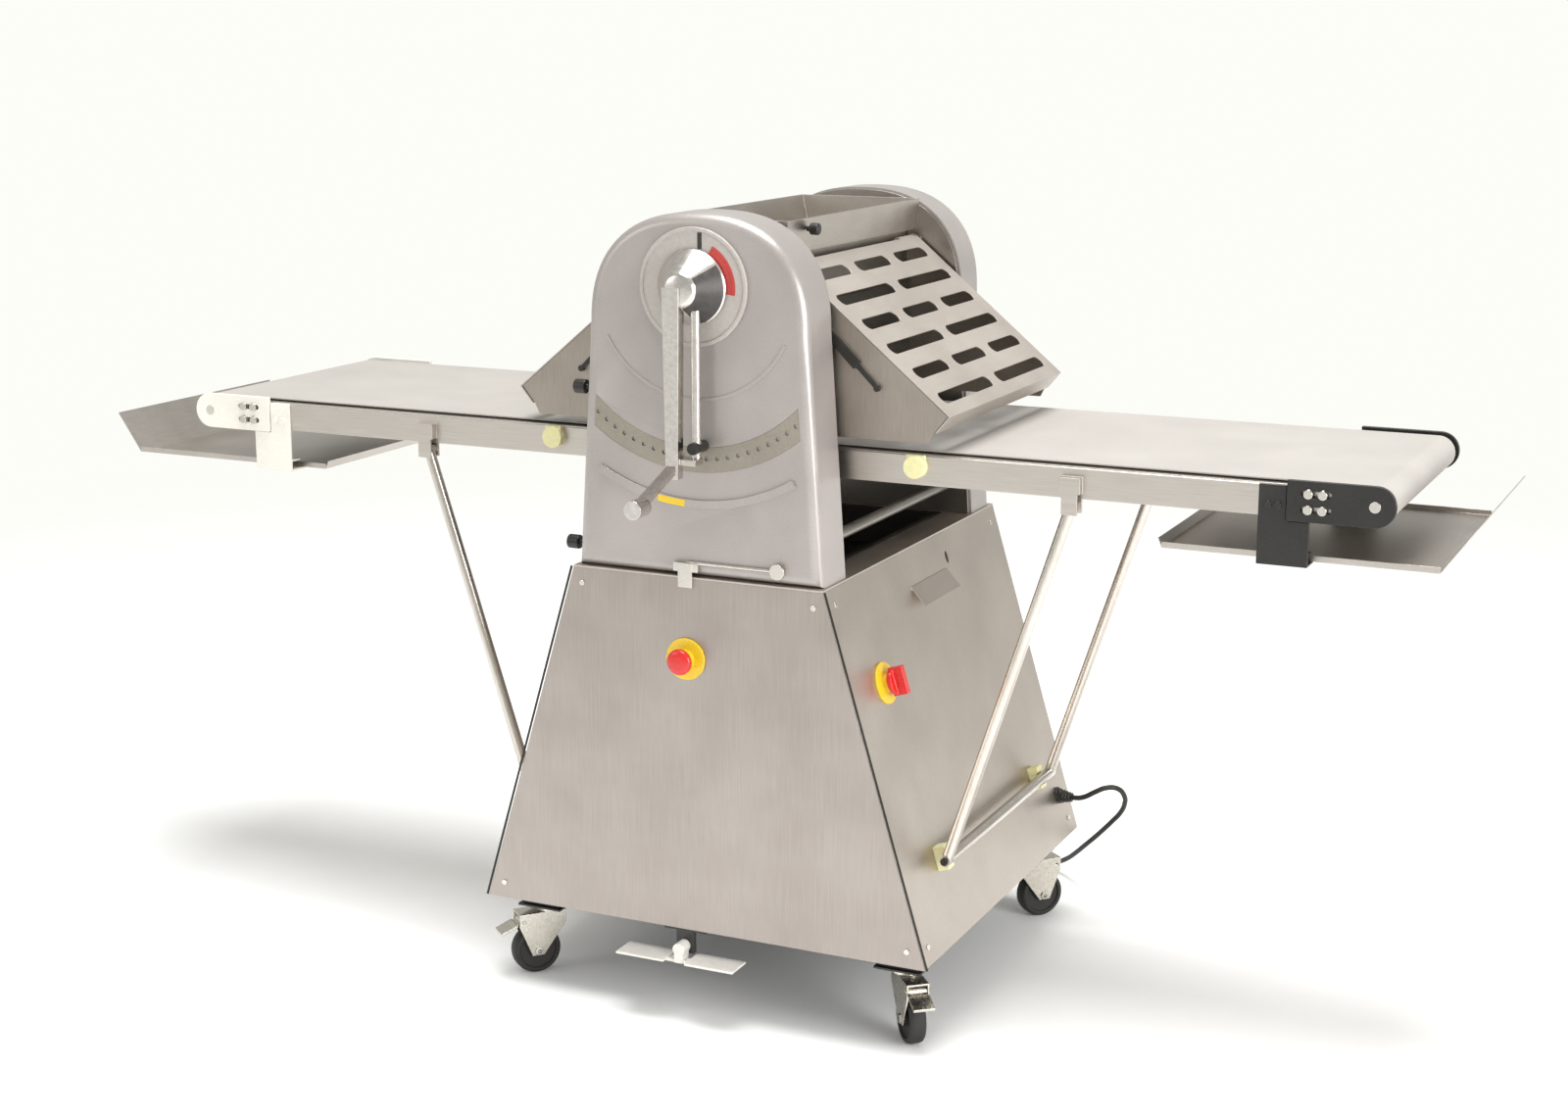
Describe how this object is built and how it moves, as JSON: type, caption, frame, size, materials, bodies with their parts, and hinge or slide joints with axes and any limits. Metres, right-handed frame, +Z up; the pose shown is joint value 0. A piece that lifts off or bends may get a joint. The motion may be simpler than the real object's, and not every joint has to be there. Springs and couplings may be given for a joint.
{
  "type": "dough sheeter",
  "caption": "Floor-standing dough sheeter with folding belt tables, a gap lever, slotted guards, sliding catch trays and a tapered cabinet on castors.",
  "frame": {"origin": "on the floor under the middle of the cabinet", "axes": "+X along the tables towards the mains switch's side, +Y away from the operator, +Z up"},
  "size_m": [2.323, 1.094, 1.254],
  "materials": {
    "stainless_panels": "brushed",
    "stainless_sheet": "satin",
    "housing_paint": "satin silver-grey paint",
    "frame_paint": "satin black paint",
    "machined_steel": "machined",
    "polished_rollers": "polished",
    "dark_tray": "dull",
    "dial_white": "satin enamel",
    "scale_steel": "brushed",
    "lever_casting": "polished casting",
    "rail_steel": "satin",
    "belt_cloth": "matt woven belt",
    "bracket_black": "moulded",
    "bracket_white": "moulded",
    "strut_steel": "polished",
    "saddle_plastic": "moulded",
    "yellow_plastic": "moulded",
    "red_plastic": "moulded",
    "black_rubber": "matt",
    "motor_paint": "enamel",
    "pulley_iron": "machined",
    "bright_steel": "plated",
    "castor_plate": "zinc plated",
    "castor_tyre": "solid rubber"
  },
  "bodies": {
    "base": {"base_frame": "frame_paint", "cabinet_front_panel": "stainless_panels", "cabinet_rear_panel": "stainless_panels", "cabinet_side_panels": "stainless_panels", "top_deck": "stainless_panels", "crumb_tray": "dark_tray", "underframe_brackets": "frame_paint", "front_side_housing": "housing_paint", "rear_side_housing": "housing_paint", "cheek_plates": "machined_steel", "cross_members": "machined_steel", "top_tray": "stainless_sheet", "dial_plate": "dial_white", "gap_scale_plate": "scale_steel", "strut_saddles": "saddle_plastic", "control_plates": "yellow_plastic", "cord_gland": "black_rubber", "drive_unit": "motor_paint", "housing_latch": "bright_steel", "side_knobs": "bracket_black", "panel_screws": "bright_steel", "power_cord": "black_rubber", "cord_coil": "black_rubber", "cord_plug": "black_rubber"},
    "lever": {"gap_lever": "lever_casting"},
    "upper_slide": {"upper_bearing_blocks": "machined_steel"},
    "upper_roller": {"upper_roller": "polished_rollers"},
    "lower_roller": {"lower_roller": "polished_rollers"},
    "motor_pulley": {"motor_pulley": "pulley_iron"},
    "estop": {"estop_button": "red_plastic"},
    "switch": {"switch_knob": "red_plastic"},
    "pedal": {"foot_pedal": "bright_steel"},
    "right_table": {"right_table_frame": "rail_steel", "right_belt": "belt_cloth", "right_end_brackets": "bracket_black"},
    "right_drive_roller": {"right_drive_roller": "polished_rollers"},
    "right_end_roller": {"right_end_roller": "polished_rollers"},
    "right_tray": {"right_catch_tray": "stainless_sheet"},
    "right_strut": {"right_strut": "strut_steel"},
    "right_guard": {"right_guard_arms": "stainless_sheet", "right_guard_grille": "stainless_sheet"},
    "left_table": {"left_table_frame": "rail_steel", "left_belt": "belt_cloth", "left_end_brackets": "bracket_white"},
    "left_drive_roller": {"left_drive_roller": "polished_rollers"},
    "left_end_roller": {"left_end_roller": "polished_rollers"},
    "left_tray": {"left_catch_tray": "stainless_sheet"},
    "left_strut": {"left_strut": "strut_steel"},
    "left_guard": {"left_guard_arms": "stainless_sheet", "left_guard_grille": "stainless_sheet"},
    "front_right_fork": {"front_right_castor_fork": "castor_plate"},
    "front_right_wheel": {"front_right_castor_wheel": "castor_tyre"},
    "front_left_fork": {"front_left_castor_fork": "castor_plate"},
    "front_left_wheel": {"front_left_castor_wheel": "castor_tyre"},
    "rear_right_fork": {"rear_right_castor_fork": "castor_plate"},
    "rear_right_wheel": {"rear_right_castor_wheel": "castor_tyre"},
    "rear_left_fork": {"rear_left_castor_fork": "castor_plate"},
    "rear_left_wheel": {"rear_left_castor_wheel": "castor_tyre"},
    "front_right_brake": {"front_right_castor_brake": "castor_plate"},
    "front_left_brake": {"front_left_castor_brake": "castor_plate"}
  },
  "joints": [
    {"name": "gap_lever_turn", "type": "hinge", "parent": "base", "child": "lever", "pos_m": [0, 0, 1.147], "axis": [0, 1, 0], "range_deg": [-46, 46]},
    {"name": "upper_roller_lift", "type": "slide", "parent": "base", "child": "upper_slide", "axis": [0, 0, 1], "range_m": [-0.0165, 0.0165]},
    {"name": "lower_roller_spin", "type": "hinge", "parent": "base", "child": "lower_roller", "pos_m": [0, 0, 0.866], "axis": [0, 1, 0], "continuous": true},
    {"name": "upper_roller_spin", "type": "hinge", "parent": "upper_slide", "child": "upper_roller", "pos_m": [0, 0, 0.9675], "axis": [0, 1, 0], "continuous": true},
    {"name": "motor_pulley_spin", "type": "hinge", "parent": "base", "child": "motor_pulley", "pos_m": [0, 0, 0.241], "axis": [0, 1, 0], "continuous": true},
    {"name": "right_drive_roller_spin", "type": "hinge", "parent": "base", "child": "right_drive_roller", "pos_m": [0.075, 0, 0.882], "axis": [0, 1, 0], "continuous": true},
    {"name": "right_table_fold", "type": "hinge", "parent": "base", "child": "right_table", "pos_m": [0.075, 0, 0.882], "axis": [0, -1, 0], "range_deg": [0, 45]},
    {"name": "right_end_roller_spin", "type": "hinge", "parent": "right_table", "child": "right_end_roller", "pos_m": [0.981, 0, 0.882], "axis": [0, 1, 0], "continuous": true},
    {"name": "right_guard_lift", "type": "hinge", "parent": "base", "child": "right_guard", "pos_m": [0.101, 0, 1.171], "axis": [0, -1, 0], "range_deg": [0, 84]},
    {"name": "right_strut_swing", "type": "hinge", "parent": "right_table", "child": "right_strut", "pos_m": [0.548, 0, 0.846], "axis": [0, -1, 0], "range_deg": [0, 70]},
    {"name": "right_tray_slide", "type": "slide", "parent": "right_table", "child": "right_tray", "axis": [1, 0, 0], "range_m": [-0.04, 0.12]},
    {"name": "left_drive_roller_spin", "type": "hinge", "parent": "base", "child": "left_drive_roller", "pos_m": [-0.075, 0, 0.882], "axis": [0, 1, 0], "continuous": true},
    {"name": "left_table_fold", "type": "hinge", "parent": "base", "child": "left_table", "pos_m": [-0.075, 0, 0.882], "axis": [0, 1, 0], "range_deg": [0, 45]},
    {"name": "left_end_roller_spin", "type": "hinge", "parent": "left_table", "child": "left_end_roller", "pos_m": [-0.981, 0, 0.882], "axis": [0, 1, 0], "continuous": true},
    {"name": "left_guard_lift", "type": "hinge", "parent": "base", "child": "left_guard", "pos_m": [-0.101, 0, 1.171], "axis": [0, 1, 0], "range_deg": [0, 84]},
    {"name": "left_strut_swing", "type": "hinge", "parent": "left_table", "child": "left_strut", "pos_m": [-0.548, 0, 0.846], "axis": [0, 1, 0], "range_deg": [0, 70]},
    {"name": "left_tray_slide", "type": "slide", "parent": "left_table", "child": "left_tray", "axis": [-1, 0, 0], "range_m": [-0.135, 0.025]},
    {"name": "estop_push", "type": "slide", "parent": "base", "child": "estop", "axis": [0, 1, 0], "range_m": [0, 0.006], "stiffness_N_per_m": 1500},
    {"name": "mains_switch_turn", "type": "hinge", "parent": "base", "child": "switch", "pos_m": [0.25879, -0.237, 0.546], "axis": [0.9574, 0, 0.2889], "range_deg": [0, 90]},
    {"name": "foot_pedal_rock", "type": "hinge", "parent": "base", "child": "pedal", "pos_m": [-0.025, 0, 0.118], "axis": [0, 1, 0], "range_deg": [-8, 8], "stiffness_Nm_per_rad": 8},
    {"name": "front_right_castor_swivel", "type": "hinge", "parent": "base", "child": "front_right_fork", "pos_m": [0.315, -0.275, 0.1], "axis": [0, 0, 1], "continuous": true},
    {"name": "front_right_wheel_spin", "type": "hinge", "parent": "front_right_fork", "child": "front_right_wheel", "pos_m": [0.333, -0.29645, 0.04], "axis": [0.766, 0.6428, 0], "continuous": true},
    {"name": "front_right_brake_press", "type": "hinge", "parent": "front_right_fork", "child": "front_right_brake", "pos_m": [0.34842, -0.31483, 0.092], "axis": [0.766, 0.6428, 0], "range_deg": [0, 15]},
    {"name": "front_left_castor_swivel", "type": "hinge", "parent": "base", "child": "front_left_fork", "pos_m": [-0.315, -0.275, 0.1], "axis": [0, 0, 1], "continuous": true},
    {"name": "front_left_wheel_spin", "type": "hinge", "parent": "front_left_fork", "child": "front_left_wheel", "pos_m": [-0.333, -0.29645, 0.04], "axis": [0.766, -0.6428, 0], "continuous": true},
    {"name": "front_left_brake_press", "type": "hinge", "parent": "front_left_fork", "child": "front_left_brake", "pos_m": [-0.34842, -0.31483, 0.092], "axis": [0.766, -0.6428, 0], "range_deg": [0, 15]},
    {"name": "rear_right_castor_swivel", "type": "hinge", "parent": "base", "child": "rear_right_fork", "pos_m": [0.315, 0.275, 0.1], "axis": [0, 0, 1], "continuous": true},
    {"name": "rear_right_wheel_spin", "type": "hinge", "parent": "rear_right_fork", "child": "rear_right_wheel", "pos_m": [0.333, 0.29645, 0.04], "axis": [-0.766, 0.6428, 0], "continuous": true},
    {"name": "rear_left_castor_swivel", "type": "hinge", "parent": "base", "child": "rear_left_fork", "pos_m": [-0.315, 0.275, 0.1], "axis": [0, 0, 1], "continuous": true},
    {"name": "rear_left_wheel_spin", "type": "hinge", "parent": "rear_left_fork", "child": "rear_left_wheel", "pos_m": [-0.333, 0.29645, 0.04], "axis": [-0.766, -0.6428, 0], "continuous": true}
  ],
  "couplings": [
    {"joint": "upper_roller_lift", "follows": "gap_lever_turn", "m_per_rad": -0.0203},
    {"joint": "upper_roller_spin", "follows": "lower_roller_spin", "ratio": -1},
    {"joint": "motor_pulley_spin", "follows": "lower_roller_spin", "ratio": 2.1538},
    {"joint": "right_drive_roller_spin", "follows": "lower_roller_spin", "ratio": 1.8261},
    {"joint": "right_end_roller_spin", "follows": "lower_roller_spin", "ratio": 1.8261},
    {"joint": "right_guard_lift", "follows": "right_table_fold", "ratio": 1.8667},
    {"joint": "left_drive_roller_spin", "follows": "lower_roller_spin", "ratio": 1.8261},
    {"joint": "left_end_roller_spin", "follows": "lower_roller_spin", "ratio": 1.8261},
    {"joint": "left_guard_lift", "follows": "left_table_fold", "ratio": 1.8667}
  ]
}
